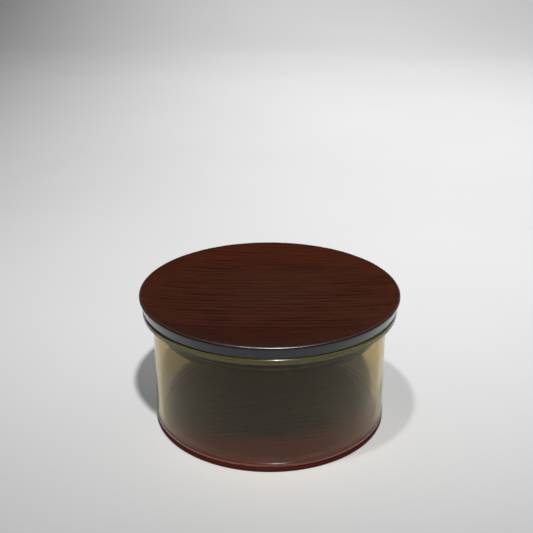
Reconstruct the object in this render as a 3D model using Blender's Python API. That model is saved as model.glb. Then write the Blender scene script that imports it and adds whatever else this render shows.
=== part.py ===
"""Low lidded storage jar: a smoked-glass jar bonded to a thin wooden base disc, closed by a dished
wooden lid. The lid's plug carries a finned silicone gasket, which centres the lid in the mouth.

Metres, +Z up. The origin is the centre of the base disc's underside, and every piece is a body of
revolution about the Z axis, given by the half outline (radius, height) that is turned round it.
"""

import math

import bmesh
import bpy

# Driving dimensions, in metres.
LID_RADIUS = 0.0704
JAR_HEIGHT = 0.0742

# Clearance between neighbouring pieces.
GAP = 0.0003

BASE_RADIUS = 0.0639
BASE_THICKNESS = 0.0020
BASE_EDGE = 0.0005

LID_THICKNESS = 0.0067
LID_SIDE_TAPER = 0.0015
LID_TOP_EDGE = 0.0010
LID_LOWER_EDGE = 0.0006
LID_DISH_DEPTH = 0.0022
LID_DISH_POWER = 6

GLASS_RADIUS = 0.0635
GLASS_WALL = 0.0025
GLASS_FLOOR = 0.0022
GLASS_HEEL = 0.0018
GLASS_FILLET = 0.0012
LIP_RADIUS = 0.0690
LIP_THICKNESS = 0.0037
LIP_TOP_ROUND = 0.0018
LIP_LOWER_ROUND = 0.0010
LIP_COVE = 0.0020
MOUTH_EDGE = 0.0012

PLUG_DROP = 0.0145
PLUG_GROOVE_RADIUS = 0.0570
PLUG_FLANGE_RADIUS = 0.0586
PLUG_FLANGE_HEIGHT = 0.0032
PLUG_EDGE = 0.0006

GASKET_BODY = 0.0018
GASKET_FINS = 3
GASKET_FIN_ROOT = 0.0010
GASKET_FIN_TIP = 0.0003

# Heights and radii that follow from them.
LID_UNDERSIDE = JAR_HEIGHT - LID_THICKNESS
GLASS_BOTTOM = BASE_THICKNESS + GAP
GLASS_TOP = LID_UNDERSIDE - GAP
GLASS_BORE = GLASS_RADIUS - GLASS_WALL
PLUG_BOTTOM = LID_UNDERSIDE - PLUG_DROP
PLUG_TOP = LID_UNDERSIDE - GAP
FLANGE_TOP = PLUG_BOTTOM + PLUG_FLANGE_HEIGHT

# Facets round the axis, and facets along each rounded corner of an outline.
TURN_STEPS = 72
CORNER_STEPS = 3
DISH_STEPS = 9


def arc(centre_r, centre_z, radius, start_deg, end_deg, steps):
    """Points on a circle in the outline's plane, both ends included."""
    points = []
    for i in range(steps + 1):
        angle = math.radians(start_deg + (end_deg - start_deg) * i / steps)
        points.append((centre_r + radius * math.cos(angle), centre_z + radius * math.sin(angle)))
    return points


def principled(name, color, roughness, transmission=0.0):
    material = bpy.data.materials.new(name)
    material.use_nodes = True
    shader = material.node_tree.nodes["Principled BSDF"]
    shader.inputs["Base Color"].default_value = (*color, 1.0)
    shader.inputs["Roughness"].default_value = roughness
    shader.inputs["Metallic"].default_value = 0.0
    shader.inputs["Transmission Weight"].default_value = transmission
    material.diffuse_color = (*color, 1.0)
    return material


def turn(name, outline, material, parent, closed=False):
    """Turns a half outline round Z. An open outline starts and ends on the axis; a closed one is
    a ring."""
    bm = bmesh.new()
    verts = [bm.verts.new((r, 0.0, z)) for r, z in outline]
    ends = list(zip(verts, verts[1:]))
    if closed:
        ends.append((verts[-1], verts[0]))
    edges = [bm.edges.new(pair) for pair in ends]
    bmesh.ops.spin(
        bm,
        geom=verts + edges,
        cent=(0.0, 0.0, 0.0),
        axis=(0.0, 0.0, 1.0),
        angle=2.0 * math.pi,
        steps=TURN_STEPS,
        use_merge=True,
    )
    bmesh.ops.remove_doubles(bm, verts=bm.verts, dist=1e-6)
    bmesh.ops.recalc_face_normals(bm, faces=bm.faces)
    mesh = bpy.data.meshes.new(name)
    bm.to_mesh(mesh)
    bm.free()
    mesh.shade_smooth()
    mesh.set_sharp_from_angle(angle=math.radians(40.0))
    mesh.materials.append(material)
    piece = bpy.data.objects.new(name, mesh)
    bpy.context.scene.collection.objects.link(piece)
    piece.parent = parent
    return piece


def carrier(name, parent=None):
    """An empty on the axis that the pieces of one moving group hang from."""
    empty = bpy.data.objects.new(name, None)
    bpy.context.scene.collection.objects.link(empty)
    empty.parent = parent
    return empty


def base_disc_outline():
    """Flat wooden disc with lightly eased edges."""
    inner = BASE_RADIUS - BASE_EDGE
    top = BASE_THICKNESS
    return [
        (0.0, top),
        *arc(inner, top - BASE_EDGE, BASE_EDGE, 90, 0, CORNER_STEPS),
        *arc(inner, BASE_EDGE, BASE_EDGE, 0, -90, CORNER_STEPS),
        (0.0, 0.0),
    ]


def glass_jar_outline():
    """From the floor up the bore, over the lip and down the outside. The bore meets the floor in a
    fillet, the lip stands out over a small cove, and the heel is rounded."""
    lip_underside = GLASS_TOP - LIP_THICKNESS
    lip_lower_r = LIP_RADIUS - LIP_LOWER_ROUND
    lip_lower_z = lip_underside + LIP_LOWER_ROUND
    floor_top = GLASS_BOTTOM + GLASS_FLOOR
    return [
        (0.0, floor_top),
        *arc(GLASS_BORE - GLASS_FILLET, floor_top + GLASS_FILLET, GLASS_FILLET, -90, 0, CORNER_STEPS),
        *arc(GLASS_BORE + MOUTH_EDGE, GLASS_TOP - MOUTH_EDGE, MOUTH_EDGE, 180, 90, CORNER_STEPS),
        *arc(LIP_RADIUS - LIP_TOP_ROUND, GLASS_TOP - LIP_TOP_ROUND, LIP_TOP_ROUND, 90, 0, CORNER_STEPS),
        *arc(lip_lower_r, lip_lower_z, LIP_LOWER_ROUND, 0, -90, CORNER_STEPS),
        *arc(GLASS_RADIUS + LIP_COVE, lip_underside - LIP_COVE, LIP_COVE, 90, 180, CORNER_STEPS),
        *arc(GLASS_RADIUS - GLASS_HEEL, GLASS_BOTTOM + GLASS_HEEL, GLASS_HEEL, 0, -90, CORNER_STEPS),
        (0.0, GLASS_BOTTOM),
    ]


def lid_disc_outline():
    """Dished top inside a thin raised rim, and a side that tapers in towards the underside."""
    crest = LID_RADIUS - LID_TOP_EDGE
    outline = []
    for i in range(DISH_STEPS):
        share = math.sin(0.5 * math.pi * i / DISH_STEPS)
        depth = LID_DISH_DEPTH * (1.0 - share**LID_DISH_POWER)
        outline.append((crest * share, JAR_HEIGHT - depth))
    outline += arc(crest, JAR_HEIGHT - LID_TOP_EDGE, LID_TOP_EDGE, 90, 0, CORNER_STEPS)
    lower = LID_RADIUS - LID_SIDE_TAPER - LID_LOWER_EDGE
    outline += arc(lower, LID_UNDERSIDE + LID_LOWER_EDGE, LID_LOWER_EDGE, 0, -90, CORNER_STEPS)
    outline.append((0.0, LID_UNDERSIDE))
    return outline


def lid_plug_outline():
    """Register under the lid: a seat for the gasket above a wider flange that keeps it on."""
    return [
        (0.0, PLUG_TOP),
        (PLUG_GROOVE_RADIUS, PLUG_TOP),
        (PLUG_GROOVE_RADIUS, FLANGE_TOP),
        (PLUG_FLANGE_RADIUS, FLANGE_TOP),
        *arc(PLUG_FLANGE_RADIUS - PLUG_EDGE, PLUG_BOTTOM + PLUG_EDGE, PLUG_EDGE, 0, -90, CORNER_STEPS),
        (0.0, PLUG_BOTTOM),
    ]


def gasket_outline():
    """Tall sleeve with thin fins that reach almost to the bore, each bevelled towards its tip."""
    inner = PLUG_GROOVE_RADIUS + GAP
    body = inner + GASKET_BODY
    tip = GLASS_BORE - GAP
    top = PLUG_TOP - GAP
    bottom = FLANGE_TOP + GAP
    pitch = (top - bottom) / GASKET_FINS
    outline = [(inner, bottom), (inner, top), (body, top)]
    for i in range(GASKET_FINS):
        middle = top - pitch * (i + 0.5)
        outline.append((body, middle + GASKET_FIN_ROOT))
        outline.append((tip, middle + GASKET_FIN_TIP))
        outline.append((tip, middle - GASKET_FIN_TIP))
        outline.append((body, middle - GASKET_FIN_ROOT))
    outline.append((body, bottom))
    return outline


def build():
    for old in list(bpy.data.objects):
        bpy.data.objects.remove(old)

    base_wood = principled("base_wood", (0.042, 0.011, 0.006), 0.40)
    lid_wood = principled("lid_wood", (0.045, 0.015, 0.009), 0.42)
    plug_wood = principled("plug_wood", (0.035, 0.014, 0.009), 0.50)
    olive_glass = principled("olive_glass", (0.42, 0.38, 0.06), 0.03, 1.0)
    silicone = principled("silicone", (0.62, 0.62, 0.55), 0.45, 0.3)

    jar = carrier("jar_axis")
    seal = carrier("seal_axis", jar)
    lid = carrier("lid_axis", seal)

    turn("base_disc", base_disc_outline(), base_wood, jar)
    turn("glass_jar", glass_jar_outline(), olive_glass, jar)
    turn("gasket", gasket_outline(), silicone, seal, closed=True)
    turn("lid_plug", lid_plug_outline(), plug_wood, lid)
    turn("lid_disc", lid_disc_outline(), lid_wood, lid)


build()
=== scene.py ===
"""Looks for the low lidded glass jar: fine turned meshes and procedural materials on the CAD frame.

Every piece is a body of revolution about Z, and takes its overall size from the CAD node that it
replaces. Lengths written with MM are metres; materials work in millimetres from the origin.
"""

import math
import random

import bmesh
import bpy
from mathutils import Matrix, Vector


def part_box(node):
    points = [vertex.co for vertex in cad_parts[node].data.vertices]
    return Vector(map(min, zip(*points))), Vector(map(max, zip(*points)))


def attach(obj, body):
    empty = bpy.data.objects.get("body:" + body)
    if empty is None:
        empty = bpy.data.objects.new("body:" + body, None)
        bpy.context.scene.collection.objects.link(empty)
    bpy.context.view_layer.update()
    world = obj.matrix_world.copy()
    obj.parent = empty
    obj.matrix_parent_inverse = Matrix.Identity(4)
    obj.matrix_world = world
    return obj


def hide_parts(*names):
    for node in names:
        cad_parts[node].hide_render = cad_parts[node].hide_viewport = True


MM = 0.001
TURN_STEPS = 288

# The wood's growth lines: their distance in millimetres, and how far they bow away from straight.
RING_SPACING = 4.0
GRAIN_BOW = -0.0005

LID_DARK = (0.014, 0.0038, 0.0020)
LID_LIGHT = (0.061, 0.0160, 0.0070)
PLUG_DARK = (0.012, 0.005, 0.003)
PLUG_LIGHT = (0.044, 0.018, 0.011)
BASE_DARK = (0.062, 0.004, 0.012)
BASE_LIGHT = (0.170, 0.009, 0.034)
BASE_RIM = (0.048, 0.0085, 0.0030)
# Painted light: the paler ring on the wood under the glass foot, for the light the foot gathers.
BASE_UNDER_FOOT_PAINTED_LIGHT = (0.230, 0.060, 0.090)

# The glass: its tint for each surface crossed by sight and by a lamp's light, and its tint in depth.
GLASS_TINT = (0.825, 0.735, 0.600)
# The lip's colour: partly its tint, partly painted light, a diffuse olive for the light in the lip.
GLASS_LIP_TINT_AND_LIGHT = (0.680, 0.680, 0.240)
# Painted shade: the dark olive line painted under the lip.
GLASS_PAINTED_SHADE = (0.020, 0.019, 0.006)
GLASS_LAMP_TINT = (0.865, 0.805, 0.585)
GLASS_DEPTH_COLOR = (0.800, 0.720, 0.190)
GLASS_DEPTH_DENSITY = 300.0

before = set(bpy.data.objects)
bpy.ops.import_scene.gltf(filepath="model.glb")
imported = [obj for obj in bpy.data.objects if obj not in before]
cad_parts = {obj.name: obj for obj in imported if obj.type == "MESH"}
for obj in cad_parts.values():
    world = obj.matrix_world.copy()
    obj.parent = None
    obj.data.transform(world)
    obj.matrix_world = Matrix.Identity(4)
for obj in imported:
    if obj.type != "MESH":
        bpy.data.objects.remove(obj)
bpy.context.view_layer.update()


# ---------------------------------------------------------------- node helpers


class Shader:
    """A material under construction, with its nodes made by short calls."""

    def __init__(self, name):
        self.material = bpy.data.materials.new(name)
        self.material.use_nodes = True
        self.tree = self.material.node_tree
        self.principled = self.tree.nodes["Principled BSDF"]
        self.output = self.tree.nodes["Material Output"]

    def add(self, kind, inputs=None, **settings):
        node = self.tree.nodes.new(kind)
        for name, value in settings.items():
            setattr(node, name, value)
        for name, value in (inputs or {}).items():
            self.feed(node.inputs[name], value)
        return node

    def feed(self, socket, value):
        if isinstance(value, bpy.types.NodeSocket):
            self.tree.links.new(value, socket)
        else:
            socket.default_value = value

    def surface(self, **inputs):
        """Sets the Principled shader's sockets, named with underscores for spaces."""
        for name, value in inputs.items():
            self.feed(self.principled.inputs[name.replace("_", " ")], value)

    def place(self):
        """The piece's own coordinates, in millimetres, as separate X, Y and Z and as one vector."""
        coords = self.add("ShaderNodeTexCoord").outputs["Object"]
        to_mm = (1000, 1000, 1000)
        scaled = self.add("ShaderNodeVectorMath", {0: coords, 1: to_mm}, operation="MULTIPLY")
        split = self.add("ShaderNodeSeparateXYZ", {0: scaled.outputs[0]})
        return scaled.outputs[0], split.outputs[0], split.outputs[1], split.outputs[2]

    def from_axis(self):
        """Distance from the Z axis, in millimetres."""
        _, x, y, _ = self.place()
        squares = self.math("ADD", self.math("MULTIPLY", x, x), self.math("MULTIPLY", y, y))
        return self.math("SQRT", squares)

    def math(self, operation, a, b=0.0, c=0.0, clamp=False):
        node = self.add("ShaderNodeMath", {0: a, 1: b, 2: c}, operation=operation, use_clamp=clamp)
        return node.outputs[0]

    def vector(self, x, y, z):
        return self.add("ShaderNodeCombineXYZ", {0: x, 1: y, 2: z}).outputs[0]

    def noise(self, vector, scale=1.0, detail=3.0, roughness=0.55):
        inputs = {
            "Vector": vector,
            "Scale": scale,
            "Detail": detail,
            "Roughness": roughness,
        }
        return self.add("ShaderNodeTexNoise", inputs).outputs["Fac"]

    def ramp(self, value, low, high, to_low=0.0, to_high=1.0):
        inputs = {
            "Value": value,
            "From Min": low,
            "From Max": high,
            "To Min": to_low,
            "To Max": to_high,
        }
        return self.add("ShaderNodeMapRange", inputs, interpolation_type="SMOOTHSTEP").outputs[0]

    def blend(self, factor, a, b, mode="MIX"):
        node = self.add("ShaderNodeMix", data_type="RGBA", blend_type=mode)
        self.feed(node.inputs["Factor"], factor)
        self.feed(node.inputs["A"], a if isinstance(a, bpy.types.NodeSocket) else (*a, 1.0))
        self.feed(node.inputs["B"], b if isinstance(b, bpy.types.NodeSocket) else (*b, 1.0))
        return node.outputs["Result"]

    def bump(self, height, distance, strength):
        inputs = {"Height": height, "Distance": distance, "Strength": strength}
        node = self.add("ShaderNodeBump", inputs)
        return node.outputs["Normal"]


# ---------------------------------------------------------------- turned meshes


def arc(centre_r, centre_z, radius, start_deg, end_deg, steps=10):
    """Points on a circle in the outline's plane, both ends included."""
    points = []
    for i in range(steps + 1):
        angle = math.radians(start_deg + (end_deg - start_deg) * i / steps)
        points.append((centre_r + radius * math.cos(angle), centre_z + radius * math.sin(angle)))
    return points


def straight(start, end, steps):
    """Points between two outline points, both left out."""
    points = []
    for i in range(1, steps):
        share = i / steps
        points.append((start[0] + (end[0] - start[0]) * share, start[1] + (end[1] - start[1]) * share))
    return points


def turned(name, outline, materials, closed=False, shape=None, slot_of=None, sharp_deg=50.0):
    """A piece turned round Z from a half outline. shape(r, z, angle) may move a point off the true
    surface of revolution, and slot_of(r, z) picks a face's material from the middle of its edge."""
    bm = bmesh.new()
    rings = []
    for r, z in outline:
        if r < 1e-9:
            rings.append([bm.verts.new((0.0, 0.0, z))] * TURN_STEPS)
            continue
        ring = []
        for k in range(TURN_STEPS):
            angle = 2.0 * math.pi * k / TURN_STEPS
            at_r, at_z = shape(r, z, angle) if shape else (r, z)
            ring.append(bm.verts.new((at_r * math.cos(angle), at_r * math.sin(angle), at_z)))
        rings.append(ring)
    pairs = list(zip(range(len(rings) - 1), range(1, len(rings))))
    if closed:
        pairs.append((len(rings) - 1, 0))
    for a, b in pairs:
        middle_r = (outline[a][0] + outline[b][0]) / 2.0
        middle_z = (outline[a][1] + outline[b][1]) / 2.0
        for k in range(TURN_STEPS):
            j = (k + 1) % TURN_STEPS
            corners = [rings[a][k], rings[a][j], rings[b][j], rings[b][k]]
            face = bm.faces.new(list(dict.fromkeys(corners)))
            face.material_index = slot_of(middle_r, middle_z) if slot_of else 0
    bmesh.ops.recalc_face_normals(bm, faces=bm.faces)
    mesh = bpy.data.meshes.new(name)
    bm.to_mesh(mesh)
    bm.free()
    mesh.shade_smooth()
    mesh.set_sharp_from_angle(angle=math.radians(sharp_deg))
    for material in materials:
        mesh.materials.append(material)
    piece = bpy.data.objects.new(name, mesh)
    bpy.context.scene.collection.objects.link(piece)
    return piece


def install(piece, node, body):
    """Puts a piece in the place of a CAD node, on that node's body."""
    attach(piece, body)
    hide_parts(node)


# ---------------------------------------------------------------- materials


def wood_grain(shader, turn_deg=0.0, offset=0.0):
    """Straight grain along X: broad shades, growth lines, finer fibres, and short dark pores. The
    lines are clearest near the axis. Gives the tone, roughly from 0 to 1, and the fibres and the
    pores, from 0 to 1."""
    _, x, y, z = shader.place()
    cos_turn = math.cos(math.radians(turn_deg))
    sin_turn = math.sin(math.radians(turn_deg))
    x_part = shader.math("MULTIPLY", x, cos_turn)
    along = shader.math("ADD", x_part, shader.math("MULTIPLY", y, sin_turn))
    y_part = shader.math("MULTIPLY", y, cos_turn)
    across = shader.math("SUBTRACT", y_part, shader.math("MULTIPLY", x, sin_turn))
    across = shader.math("ADD", across, offset)
    slow_along = shader.math("MULTIPLY", along, 0.014)
    slow_across = shader.math("MULTIPLY", across, 0.03)
    wander = shader.noise(shader.vector(slow_along, slow_across, z), detail=2.0)
    across = shader.math("MULTIPLY_ADD", wander, 2.0, across)
    across = shader.math("MULTIPLY_ADD", shader.math("MULTIPLY", along, along), GRAIN_BOW, across)

    def streaks(along_rate, across_rate, seed, detail):
        """Noise drawn out along the grain; the rates are its scales per millimetre."""
        stretched_along = shader.math("MULTIPLY", along, along_rate)
        stretched_across = shader.math("MULTIPLY", across, across_rate)
        place = shader.vector(stretched_along, stretched_across, seed)
        return shader.noise(place, detail=detail, roughness=0.6)

    broad = streaks(0.008, 0.16, 11.0, 2.0)
    drift = streaks(0.020, 0.14, 5.0, 2.0)
    phase = shader.math("MULTIPLY", across, 2.0 * math.pi / RING_SPACING)
    phase = shader.math("MULTIPLY_ADD", drift, 8.0, phase)
    wave = shader.math("MULTIPLY_ADD", shader.math("SINE", phase), 0.5, 0.5)
    strength = shader.ramp(streaks(0.045, 0.34, 9.0, 1.5), 0.34, 0.58, 0.25, 1.0)
    rings = shader.math("MULTIPLY", shader.ramp(wave, 0.0, 0.60, 1.0, 0.0), strength)
    away = shader.math("ADD", shader.math("MULTIPLY", x, x), shader.math("MULTIPLY", y, y))
    rings = shader.math("MULTIPLY", rings, shader.ramp(away, 1400.0, 4200.0, 1.0, 0.45))
    lines = shader.ramp(streaks(0.020, 0.80, 0.0, 1.5), 0.36, 0.64)
    fibres = shader.ramp(streaks(0.055, 2.4, 3.0, 1.5), 0.36, 0.64)
    pores = shader.ramp(streaks(0.120, 2.8, 7.0, 1.0), 0.60, 0.70)
    tone = shader.ramp(broad, 0.34, 0.66, 0.44, 0.60)
    tone = shader.math("MULTIPLY_ADD", lines, 0.22, tone)
    tone = shader.math("MULTIPLY_ADD", fibres, 0.32, tone)
    tone = shader.math("MULTIPLY_ADD", rings, -0.54, tone)
    return tone, fibres, pores


def lid_top_material():
    """Dark red-brown stained wood with a dull finish and a polished rim crest. Painted light on top:
    more orange towards the back, a painted grey sheen in the middle and painted shade at the front."""
    s = Shader("lid_top_wood")
    tone, fibres, pores = wood_grain(s)
    _, x, y, z = s.place()
    radius = s.from_axis()
    color = s.blend(s.ramp(tone, 0.05, 0.95), LID_DARK, LID_LIGHT)
    # Painted light: more orange towards the back.
    far = s.ramp(y, -35.0, 50.0)
    color = s.blend(s.math("MULTIPLY", far, 0.55), color, (1.02, 0.86, 0.58), mode="MULTIPLY")
    # Painted sheen: greyer and duller in the middle.
    middle = s.ramp(radius, 10.0, 46.0, 1.0, 0.0)
    color = s.blend(s.math("MULTIPLY", middle, 0.22), color, (0.048, 0.021, 0.014))
    # Painted shade: darker at the front.
    near = s.ramp(y, -60.0, -25.0, 1.0, 0.0)
    color = s.blend(s.math("MULTIPLY", near, 0.60), color, (0.62, 0.48, 0.45), mode="MULTIPLY")
    cloud_place = s.vector(s.math("MULTIPLY", x, 0.020), s.math("MULTIPLY", y, 0.035), z)
    cloud = s.noise(cloud_place, detail=2.0)
    cloud_strength = s.ramp(cloud, 0.35, 0.65, 0.0, 0.35)
    color = s.blend(cloud_strength, color, (0.72, 0.62, 0.62), mode="MULTIPLY")
    color = s.blend(s.math("MULTIPLY", pores, 0.55), color, (0.009, 0.003, 0.002))
    angle = s.math("ARCTAN2", y, x)
    chip_place = s.vector(s.math("MULTIPLY", angle, 34.0), s.math("MULTIPLY", radius, 0.8), 0.0)
    polish = s.ramp(s.noise(chip_place, detail=3.0), 0.34, 0.54, 0.55, 1.0)
    crest = s.math("MULTIPLY", s.ramp(radius, 69.0, 69.5), polish)
    rough = s.math("ADD", s.ramp(fibres, 0.0, 1.0, 0.44, 0.54), s.math("MULTIPLY", pores, 0.15))
    height = s.math("SUBTRACT", s.math("MULTIPLY", tone, 0.5), pores)
    s.surface(
        Base_Color=color,
        Roughness=rough,
        IOR=1.45,
        Specular_IOR_Level=0.05,
        Coat_Weight=crest,
        Coat_Roughness=0.32,
        Coat_IOR=2.1,
        Normal=s.bump(height, 0.00005, 0.6),
    )
    return s.material


def lid_side_material():
    """The lid's side: end grain that took the stain almost black, under a glossy lacquer."""
    s = Shader("lid_side_wood")
    _, x, y, z = s.place()
    angle = s.math("ARCTAN2", y, x)
    tick_place = s.vector(s.math("MULTIPLY", angle, 90.0), s.math("MULTIPLY", z, 0.25), 0.0)
    ticks = s.noise(tick_place, detail=3.0, roughness=0.7)
    broad = s.noise(s.vector(s.math("MULTIPLY", angle, 6.0), 0.0, 2.0), detail=2.0)
    # Painted reflection: the blue cast in these near-black colours stands in for a bluish reflection;
    # the near-black is the stain.
    color = s.blend(s.ramp(ticks, 0.35, 0.7), (0.0032, 0.0036, 0.0055), (0.0090, 0.0088, 0.0120))
    color = s.blend(s.math("MULTIPLY", broad, 0.5), color, (0.0060, 0.0056, 0.0070))
    s.surface(
        Base_Color=color,
        Roughness=s.ramp(ticks, 0.3, 0.7, 0.16, 0.28),
        IOR=1.5,
        # Painted reflection: the blue specular tint makes the side's reflection bluer than what it
        # mirrors.
        Specular_Tint=(0.80, 0.87, 1.0, 1.0),
        Coat_Weight=0.45,
        Coat_Roughness=0.10,
        Normal=s.bump(ticks, 0.00003, 0.35),
    )
    return s.material


def plug_material(name="plug_wood", offset=31.0):
    """Dark stained wood without lacquer, below the lid."""
    s = Shader(name)
    tone, fibres, pores = wood_grain(s, turn_deg=2.0, offset=offset)
    color = s.blend(s.ramp(tone, 0.05, 0.95), PLUG_DARK, PLUG_LIGHT)
    color = s.blend(s.math("MULTIPLY", pores, 0.5), color, (0.008, 0.003, 0.002))
    s.surface(
        Base_Color=color,
        Roughness=s.ramp(fibres, 0.0, 1.0, 0.44, 0.56),
        Specular_IOR_Level=0.35,
        Normal=s.bump(s.math("SUBTRACT", tone, pores), 0.00004, 0.6),
    )
    return s.material


def base_material(name="base_wood", rim=True):
    """Matt red-brown stained wood, redder than the lid. The disc itself is darker at its edge; the
    wood drawn on the glass's underside is painted paler there, painted light for the light the glass
    foot gathers."""
    s = Shader(name)
    tone, fibres, pores = wood_grain(s, turn_deg=9.0, offset=-17.0)
    color = s.blend(s.ramp(tone, 0.05, 0.95), BASE_DARK, BASE_LIGHT)
    color = s.blend(s.math("MULTIPLY", pores, 0.45), color, (0.020, 0.005, 0.004))
    radius = s.from_axis()
    if rim:
        color = s.blend(s.math("MULTIPLY", s.ramp(radius, 60.9, 61.7), 0.90), color, BASE_RIM)
    else:
        # Painted light: paler under the glass foot.
        color = s.blend(s.math("MULTIPLY", s.ramp(radius, 54.0, 58.0), 0.75), color, BASE_UNDER_FOOT_PAINTED_LIGHT)
    s.surface(
        Base_Color=color,
        Roughness=s.ramp(fibres, 0.0, 1.0, 0.50, 0.62),
        Specular_IOR_Level=0.12,
        Normal=s.bump(s.math("SUBTRACT", tone, pores), 0.00004, 0.6),
    )
    return s.material


def lamp_pass(shader, surface_tint):
    """Lets light from the lamps pass straight through, tinted once at each surface, so that the
    inside is lit as it is through thin real glass, and adds the glass's tint in depth."""
    clear = shader.add("ShaderNodeBsdfTransparent", {"Color": (*surface_tint, 1.0)})
    path = shader.add("ShaderNodeLightPath")
    mixed = shader.add(
        "ShaderNodeMixShader",
        {0: path.outputs["Is Shadow Ray"], 1: shader.principled.outputs[0], 2: clear.outputs[0]},
    )
    tint = {"Color": (*GLASS_DEPTH_COLOR, 1.0), "Density": GLASS_DEPTH_DENSITY}
    depth = shader.add("ShaderNodeVolumeAbsorption", tint)
    shader.feed(shader.output.inputs["Surface"], mixed.outputs[0])
    shader.feed(shader.output.inputs["Volume"], depth.outputs[0])


def glass_material():
    """Clear olive-amber glass with a very faint unevenness. The lip has a little diffuse olive, painted
    light for the light in the lip, with a film along its top and a painted shade line under it, and the
    foot has the same film."""
    s = Shader("olive_glass")
    place, _, _, z = s.place()
    radius = s.from_axis()
    haze = s.noise(place, scale=0.06, detail=4.0, roughness=0.6)
    smear = s.noise(place, scale=0.35, detail=3.0)
    ripple = s.noise(place, scale=0.09, detail=1.0)
    # Painted light: the lip gives up some transmission for a diffuse olive that stands in for the light
    # in the lip.
    lip = s.math("MULTIPLY", s.ramp(z, 64.2, 65.0), s.ramp(radius, 64.0, 65.0))
    film = s.math("MULTIPLY", s.ramp(z, 64.8, 65.6), s.ramp(smear, 0.25, 0.75, 0.55, 1.0))
    film = s.math("ADD", film, s.ramp(z, 5.0, 6.0, 0.85, 0.0), clamp=True)
    # Painted shade: a dark line painted just under the lip.
    groove = s.math("MULTIPLY", s.ramp(z, 62.6, 63.2), s.ramp(z, 64.3, 64.8, 1.0, 0.0))
    groove = s.math("MULTIPLY", groove, s.ramp(radius, 64.0, 64.6))
    lip_light_and_shade = s.math("ADD", s.math("MULTIPLY", lip, 0.13), s.math("MULTIPLY", groove, 0.70))
    haze_rough = s.ramp(haze, 0.45, 0.75, 0.0, 0.02)
    s.surface(
        Base_Color=s.blend(groove, s.blend(lip, GLASS_TINT, GLASS_LIP_TINT_AND_LIGHT), GLASS_PAINTED_SHADE),
        Roughness=s.math("MULTIPLY", haze_rough, s.ramp(smear, 0.3, 0.7, 0.5, 1.0)),
        IOR=1.45,
        Transmission_Weight=s.math("SUBTRACT", 1.0, lip_light_and_shade),
        Coat_Weight=film,
        Coat_Roughness=0.20,
        Normal=s.bump(ripple, 0.00010, 0.25),
    )
    lamp_pass(s, GLASS_LAMP_TINT)
    return s.material


def silicone_material():
    """Milky silicone with faint mould marks and dust."""
    s = Shader("gasket_silicone")
    place, _, _, _ = s.place()
    cloud = s.noise(place, scale=0.15, detail=3.0)
    dust = s.noise(place, scale=2.5, detail=2.0)
    color = s.blend(s.ramp(cloud, 0.35, 0.65), (0.150, 0.150, 0.125), (0.200, 0.200, 0.170))
    s.surface(
        Base_Color=color,
        Roughness=s.ramp(dust, 0.3, 0.7, 0.22, 0.34),
        IOR=1.41,
        Normal=s.bump(dust, 0.00002, 0.3),
    )
    return s.material


# ---------------------------------------------------------------- pieces


def make_base():
    low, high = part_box("base_disc")
    edge = 0.5 * MM
    inner = high.x - edge
    outline = [
        (0.0, high.z),
        *straight((0.0, high.z), (inner, high.z), 6),
        *arc(inner, high.z - edge, edge, 90, 0, 6),
        *arc(inner, low.z + edge, edge, 0, -90, 6),
        (0.0, low.z),
    ]
    piece = turned("base_disc_wood", outline, [base_material()])
    install(piece, "base_disc", "jar")


def make_glass():
    low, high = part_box("glass_jar")
    wall_radius = 63.5 * MM
    wall = 2.5 * MM
    floor = 2.2 * MM
    foot_radius = 63.9 * MM
    foot_bead = 0.9 * MM
    foot_z = low.z + 2.0 * MM
    foot_top = foot_z + 0.75 * MM
    heel = 1.6 * MM
    fillet = 1.2 * MM
    lip = 3.7 * MM
    lip_top = 1.8 * MM
    lip_lower = 1.0 * MM
    cove = 2.0 * MM
    mouth_edge = 1.2 * MM
    bore = wall_radius - wall
    floor_top = low.z + floor
    underside = high.z - lip
    cove_z = underside - cove
    outline = [
        (0.0, floor_top),
        *straight((0.0, floor_top), (bore - fillet, floor_top), 12),
        *arc(bore - fillet, floor_top + fillet, fillet, -90, 0, 12),
        *straight((bore, floor_top + fillet), (bore, high.z - mouth_edge), 24),
        *arc(bore + mouth_edge, high.z - mouth_edge, mouth_edge, 180, 90, 8),
        *arc(high.x - lip_top, high.z - lip_top, lip_top, 90, 0, 12),
        *arc(high.x - lip_lower, underside + lip_lower, lip_lower, 0, -90, 10),
        *arc(wall_radius + cove, cove_z, cove, 90, 180, 12),
        *straight((wall_radius, cove_z), (wall_radius, foot_top), 24),
        *arc(foot_radius - foot_bead, foot_z, foot_bead, 56, 0, 10),
        *arc(foot_radius - heel, low.z + heel, heel, 0, -90, 12),
        *straight((foot_radius - heel, low.z), (0.0, low.z), 12),
        (0.0, low.z),
    ]

    def blown(r, z, angle):
        """The wall's slight unevenness, a few hundredths of a millimetre, inwards only."""
        wave = math.sin(3 * angle + 0.7 + 25.0 * z) + 0.6 * math.sin(7 * angle + 2.1 - 40.0 * z)
        middle = max(0.0, 1.0 - abs(z / MM - 34.0) / 27.0)
        if r < bore - fillet or r > wall_radius + 0.1 * MM:
            return r, z
        return r - 0.02 * MM * (1.6 + wave) * middle, z

    def slot_of(r, z):
        """The underside shows the wood that it is bonded to."""
        return 1 if z < low.z + 0.01 * MM else 0

    materials = [glass_material(), base_material("base_wood_bonded", rim=False)]
    piece = turned("glass_jar_glass", outline, materials, shape=blown, slot_of=slot_of)
    install(piece, "glass_jar", "jar")


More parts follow.
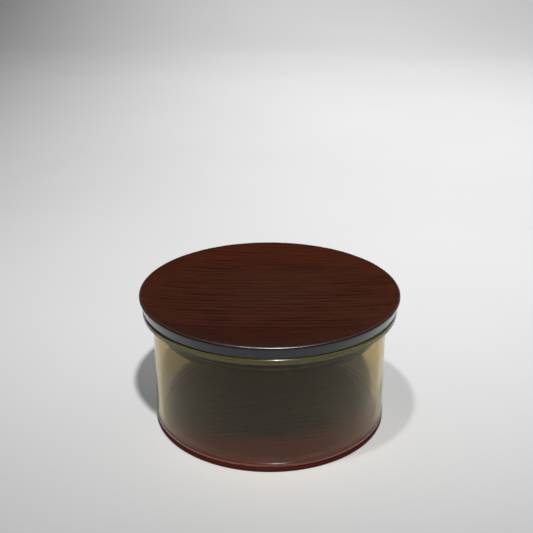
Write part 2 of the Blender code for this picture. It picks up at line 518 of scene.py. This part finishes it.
def make_gasket():
    low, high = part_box("gasket")
    inner = 57.3 * MM
    body = 59.1 * MM
    tip = high.x
    fins = 3
    root_half = 1.0 * MM
    tip_half = 0.3 * MM
    soft = 0.25 * MM
    pitch = (high.z - low.z) / fins
    outline = [
        *arc(inner + soft, low.z + soft, soft, -90, -180, 4),
        *arc(inner + soft, high.z - soft, soft, 180, 90, 4),
        *arc(body - soft, high.z - soft, soft, 90, 0, 4),
    ]
    for i in range(fins):
        middle = high.z - pitch * (i + 0.5)
        outline.append((body, middle + root_half))
        outline += arc(tip - tip_half, middle, tip_half, 80, -80, 8)
        outline.append((body, middle - root_half))
    outline += arc(body - soft, low.z + soft, soft, 0, -90, 4)
    piece = turned("gasket_silicone_ring", outline, [silicone_material()], closed=True)
    install(piece, "gasket", "seal")


def make_plug():
    low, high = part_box("lid_plug")
    groove = 57.0 * MM
    flange_height = 3.2 * MM
    edge = 0.6 * MM
    flange_top = low.z + flange_height
    outline = [
        (0.0, high.z),
        (groove, high.z),
        (groove, flange_top),
        *arc(high.x - edge / 3.0, flange_top - edge / 3.0, edge / 3.0, 90, 0, 4),
        *arc(high.x - edge, low.z + edge, edge, 0, -90, 8),
        *straight((high.x - edge, low.z), (0.0, low.z), 12),
        (0.0, low.z),
    ]
    piece = turned("lid_plug_wood", outline, [plug_material()])
    install(piece, "lid_plug", "lid")


def make_lid():
    low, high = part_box("lid_disc")
    top_edge = 1.0 * MM
    lower_edge = 0.6 * MM
    taper = 1.5 * MM
    dish_depth = 2.2 * MM
    dish_power = 6
    dish_steps = 48
    crest = high.x - top_edge
    edge_z = high.z - top_edge
    outline = []
    for i in range(dish_steps):
        share = math.sin(0.5 * math.pi * i / dish_steps)
        outline.append((crest * share, high.z - dish_depth * (1.0 - share**dish_power)))
    outline += arc(crest, edge_z, top_edge, 90, 0, 12)
    side_top = outline[-1]
    side_low = (high.x - taper, low.z + lower_edge)
    outline += straight(side_top, side_low, 6)
    outline += arc(side_low[0] - lower_edge, side_low[1], lower_edge, 0, -90, 8)
    outline += straight((side_low[0] - lower_edge, low.z), (0.0, low.z), 6)
    outline.append((0.0, low.z))

    rng = random.Random(7)
    nicks = []
    for _ in range(90):
        centre = rng.uniform(0.0, 2.0 * math.pi)
        width = rng.uniform(0.01, 0.05)
        nicks.append((centre, width, rng.uniform(0.03, 0.12)))

    def worn(r, z, angle):
        """Small flats and rubbed places along the rim's crest."""
        if r < crest - 1.5 * MM or z < edge_z - 0.2 * MM:
            return r, z
        rub = 0.0
        for centre, width, depth in nicks:
            off = abs((angle - centre + math.pi) % (2.0 * math.pi) - math.pi)
            if off < width:
                rub = max(rub, depth * (1.0 - (off / width) ** 2))
        return r - 0.5 * rub * MM, z - 0.5 * rub * MM

    def slot_of(r, z):
        if z < low.z + 0.01 * MM:
            return 2
        return 1 if r > side_low[0] - lower_edge and z < edge_z + 0.6 * top_edge else 0

    materials = [lid_top_material(), lid_side_material(), plug_material("lid_underside_wood", 12.0)]
    piece = turned("lid_disc_wood", outline, materials, shape=worn, slot_of=slot_of)
    install(piece, "lid_disc", "lid")


# ---------------------------------------------------------------- studio


def make_floor():
    """A pale seamless sweep: a flat floor that curves up behind the jar and ends low, so that the lid
    and the glass don't mirror a bright wall."""
    s = Shader("pale_sweep")
    place, _, _, _ = s.place()
    mottle = s.noise(place, scale=0.004, detail=2.0)
    s.surface(
        Base_Color=s.blend(s.ramp(mottle, 0.3, 0.7), (0.80, 0.80, 0.795), (0.82, 0.82, 0.82)),
        Roughness=0.9,
        Specular_IOR_Level=0.1,
    )
    half_width = 4.0
    front = -3.0
    bend_start = 1.3
    bend_radius = 0.9
    bend_deg = 60.0
    steps = 24
    line = [(front, 0.0), (bend_start, 0.0)]
    for i in range(1, steps + 1):
        angle = math.radians(bend_deg) * i / steps
        line.append((bend_start + bend_radius * math.sin(angle), bend_radius * (1.0 - math.cos(angle))))
    bm = bmesh.new()
    left = [bm.verts.new((-half_width, y, z)) for y, z in line]
    right = [bm.verts.new((half_width, y, z)) for y, z in line]
    for i in range(len(line) - 1):
        bm.faces.new((left[i], right[i], right[i + 1], left[i + 1]))
    mesh = bpy.data.meshes.new("sweep")
    bm.to_mesh(mesh)
    bm.free()
    mesh.shade_smooth()
    mesh.materials.append(s.material)
    floor = bpy.data.objects.new("sweep", mesh)
    bpy.context.scene.collection.objects.link(floor)


def make_lamp(name, location, target, power, radius, cone_deg):
    """A small round lamp with a soft-edged cone, brightest along its axis."""
    light = bpy.data.lights.new(name, "SPOT")
    light.shadow_soft_size = radius
    light.energy = power
    light.spot_size = math.radians(cone_deg)
    light.spot_blend = 1.0
    lamp = bpy.data.objects.new(name, light)
    lamp.location = location
    lamp.rotation_euler = (Vector(target) - Vector(location)).to_track_quat("-Z", "Y").to_euler()
    bpy.context.scene.collection.objects.link(lamp)


def make_studio():
    make_floor()
    make_lamp("key_lamp", (0.125, -0.664, 1.27), (-0.09, 0.42, 0.0), 64.0, 0.038, 58.0)
    make_lamp("second_lamp", (-0.160, -0.262, 1.27), (0.28, 0.53, 0.0), 29.5, 0.038, 62.5)
    make_lamp("sweep_lamp", (-0.50, 0.66, 1.95), (1.09, 1.65, 0.0), 133.0, 0.15, 90.0)
    world = bpy.data.worlds.new("studio_air")
    world.use_nodes = True
    background = world.node_tree.nodes["Background"]
    background.inputs["Color"].default_value = (0.95, 0.97, 1.0, 1.0)
    background.inputs["Strength"].default_value = 0.076
    scene = bpy.context.scene
    scene.world = world
    scene.view_settings.view_transform = "Standard"


def make_camera():
    """Almost straight in front and 22 degrees down, on a lens fitted to the photograph."""
    data = bpy.data.cameras.new("camera")
    data.sensor_width = 36.0
    data.lens = 61.6
    camera = bpy.data.objects.new("camera", data)
    camera.location = (0.00425, -0.45260, 0.27290)
    camera.rotation_euler = (math.radians(90.0 - 22.35), 0.0, math.radians(0.754))
    bpy.context.scene.collection.objects.link(camera)
    bpy.context.scene.camera = camera


make_camera()
make_studio()
make_base()
make_glass()
make_gasket()
make_plug()
make_lid()
